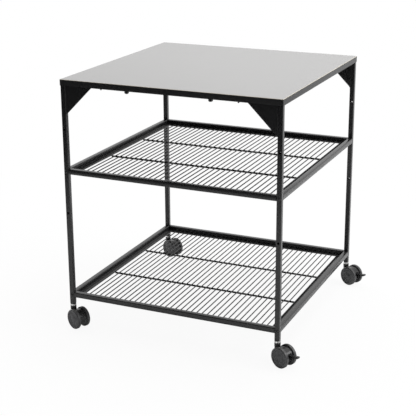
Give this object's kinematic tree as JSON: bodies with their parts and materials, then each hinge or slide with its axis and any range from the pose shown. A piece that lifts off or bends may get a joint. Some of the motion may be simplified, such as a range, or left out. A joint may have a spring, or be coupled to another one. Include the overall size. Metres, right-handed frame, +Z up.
{
  "type": "mobile printer stand",
  "caption": "Square mobile stand with a folded steel top, wire shelves on bolt-together square legs, corner gussets and twin-wheel swivel castors with brake levers.",
  "frame": {"origin": "on the floor, under the centre of the tabletop", "axes": "+Z up; -Y is the front, the side towards the viewer in the picture's left half; +X is the user's right"},
  "size_m": [0.6643, 0.6409, 0.675],
  "materials": {
    "top_enamel": "satin",
    "frame_enamel": "satin",
    "wire_enamel": "satin",
    "hardware": "satin",
    "bright_ring": "polished",
    "black_plastic": "matte",
    "wheel_plastic": "satin"
  },
  "bodies": {
    "stand": {"tabletop": "top_enamel", "stiffener_left": "frame_enamel", "stiffener_right": "frame_enamel", "head_rail_front": "frame_enamel", "head_rail_back": "frame_enamel", "tabletop_bolts": "hardware", "tabletop_screws": "hardware", "leg_joiners": "hardware", "middle_frame": "frame_enamel", "middle_grid": "wire_enamel", "bottom_frame": "frame_enamel", "bottom_grid": "wire_enamel", "shelf_screws": "hardware", "foot_inserts": "black_plastic", "upper_leg_fl": "frame_enamel", "lower_leg_fl": "frame_enamel", "gusset_fl": "frame_enamel", "stem_fl": "hardware", "ring_fl": "bright_ring", "upper_leg_fr": "frame_enamel", "lower_leg_fr": "frame_enamel", "gusset_fr": "frame_enamel", "stem_fr": "hardware", "ring_fr": "bright_ring", "upper_leg_bl": "frame_enamel", "lower_leg_bl": "frame_enamel", "gusset_bl": "frame_enamel", "stem_bl": "hardware", "ring_bl": "bright_ring", "upper_leg_br": "frame_enamel", "lower_leg_br": "frame_enamel", "gusset_br": "frame_enamel", "stem_br": "hardware", "ring_br": "bright_ring"},
    "castor_fl": {"hood_fl": "black_plastic", "axle_fl": "hardware"},
    "near_wheel_fl": {"near_wheel_fl": "wheel_plastic"},
    "far_wheel_fl": {"far_wheel_fl": "wheel_plastic"},
    "castor_fr": {"hood_fr": "black_plastic", "axle_fr": "hardware", "lever_pin_fr": "hardware"},
    "near_wheel_fr": {"near_wheel_fr": "wheel_plastic"},
    "far_wheel_fr": {"far_wheel_fr": "wheel_plastic"},
    "lever_fr": {"brake_lever_fr": "black_plastic"},
    "castor_bl": {"hood_bl": "black_plastic", "axle_bl": "hardware"},
    "near_wheel_bl": {"near_wheel_bl": "wheel_plastic"},
    "far_wheel_bl": {"far_wheel_bl": "wheel_plastic"},
    "castor_br": {"hood_br": "black_plastic", "axle_br": "hardware", "lever_pin_br": "hardware"},
    "near_wheel_br": {"near_wheel_br": "wheel_plastic"},
    "far_wheel_br": {"far_wheel_br": "wheel_plastic"},
    "lever_br": {"brake_lever_br": "black_plastic"}
  },
  "joints": [
    {"name": "swivel_fl", "type": "hinge", "parent": "stand", "child": "castor_fl", "pos_m": [-0.2925, -0.2925, 0.045], "axis": [0, 0, 1], "continuous": true},
    {"name": "near_roll_fl", "type": "hinge", "parent": "castor_fl", "child": "near_wheel_fl", "pos_m": [-0.27194, -0.30165, 0.027], "axis": [0.4067, 0.9135, 0], "continuous": true},
    {"name": "far_roll_fl", "type": "hinge", "parent": "castor_fl", "child": "far_wheel_fl", "pos_m": [-0.27194, -0.30165, 0.027], "axis": [0.4067, 0.9135, 0], "continuous": true},
    {"name": "swivel_fr", "type": "hinge", "parent": "stand", "child": "castor_fr", "pos_m": [0.2925, -0.2925, 0.045], "axis": [0, 0, 1], "continuous": true},
    {"name": "near_roll_fr", "type": "hinge", "parent": "castor_fr", "child": "near_wheel_fr", "pos_m": [0.31306, -0.30165, 0.027], "axis": [0.4067, 0.9135, 0], "continuous": true},
    {"name": "far_roll_fr", "type": "hinge", "parent": "castor_fr", "child": "far_wheel_fr", "pos_m": [0.31306, -0.30165, 0.027], "axis": [0.4067, 0.9135, 0], "continuous": true},
    {"name": "brake_fr", "type": "hinge", "parent": "castor_fr", "child": "lever_fr", "pos_m": [0.32493, -0.30694, 0.034], "axis": [0.4067, 0.9135, 0], "range_deg": [0, 14]},
    {"name": "swivel_bl", "type": "hinge", "parent": "stand", "child": "castor_bl", "pos_m": [-0.2925, 0.2925, 0.045], "axis": [0, 0, 1], "continuous": true},
    {"name": "near_roll_bl", "type": "hinge", "parent": "castor_bl", "child": "near_wheel_bl", "pos_m": [-0.27194, 0.28335, 0.027], "axis": [0.4067, 0.9135, 0], "continuous": true},
    {"name": "far_roll_bl", "type": "hinge", "parent": "castor_bl", "child": "far_wheel_bl", "pos_m": [-0.27194, 0.28335, 0.027], "axis": [0.4067, 0.9135, 0], "continuous": true},
    {"name": "swivel_br", "type": "hinge", "parent": "stand", "child": "castor_br", "pos_m": [0.2925, 0.2925, 0.045], "axis": [0, 0, 1], "continuous": true},
    {"name": "near_roll_br", "type": "hinge", "parent": "castor_br", "child": "near_wheel_br", "pos_m": [0.31306, 0.28335, 0.027], "axis": [0.4067, 0.9135, 0], "continuous": true},
    {"name": "far_roll_br", "type": "hinge", "parent": "castor_br", "child": "far_wheel_br", "pos_m": [0.31306, 0.28335, 0.027], "axis": [0.4067, 0.9135, 0], "continuous": true},
    {"name": "brake_br", "type": "hinge", "parent": "castor_br", "child": "lever_br", "pos_m": [0.32493, 0.27806, 0.034], "axis": [0.4067, 0.9135, 0], "range_deg": [0, 14]}
  ]
}
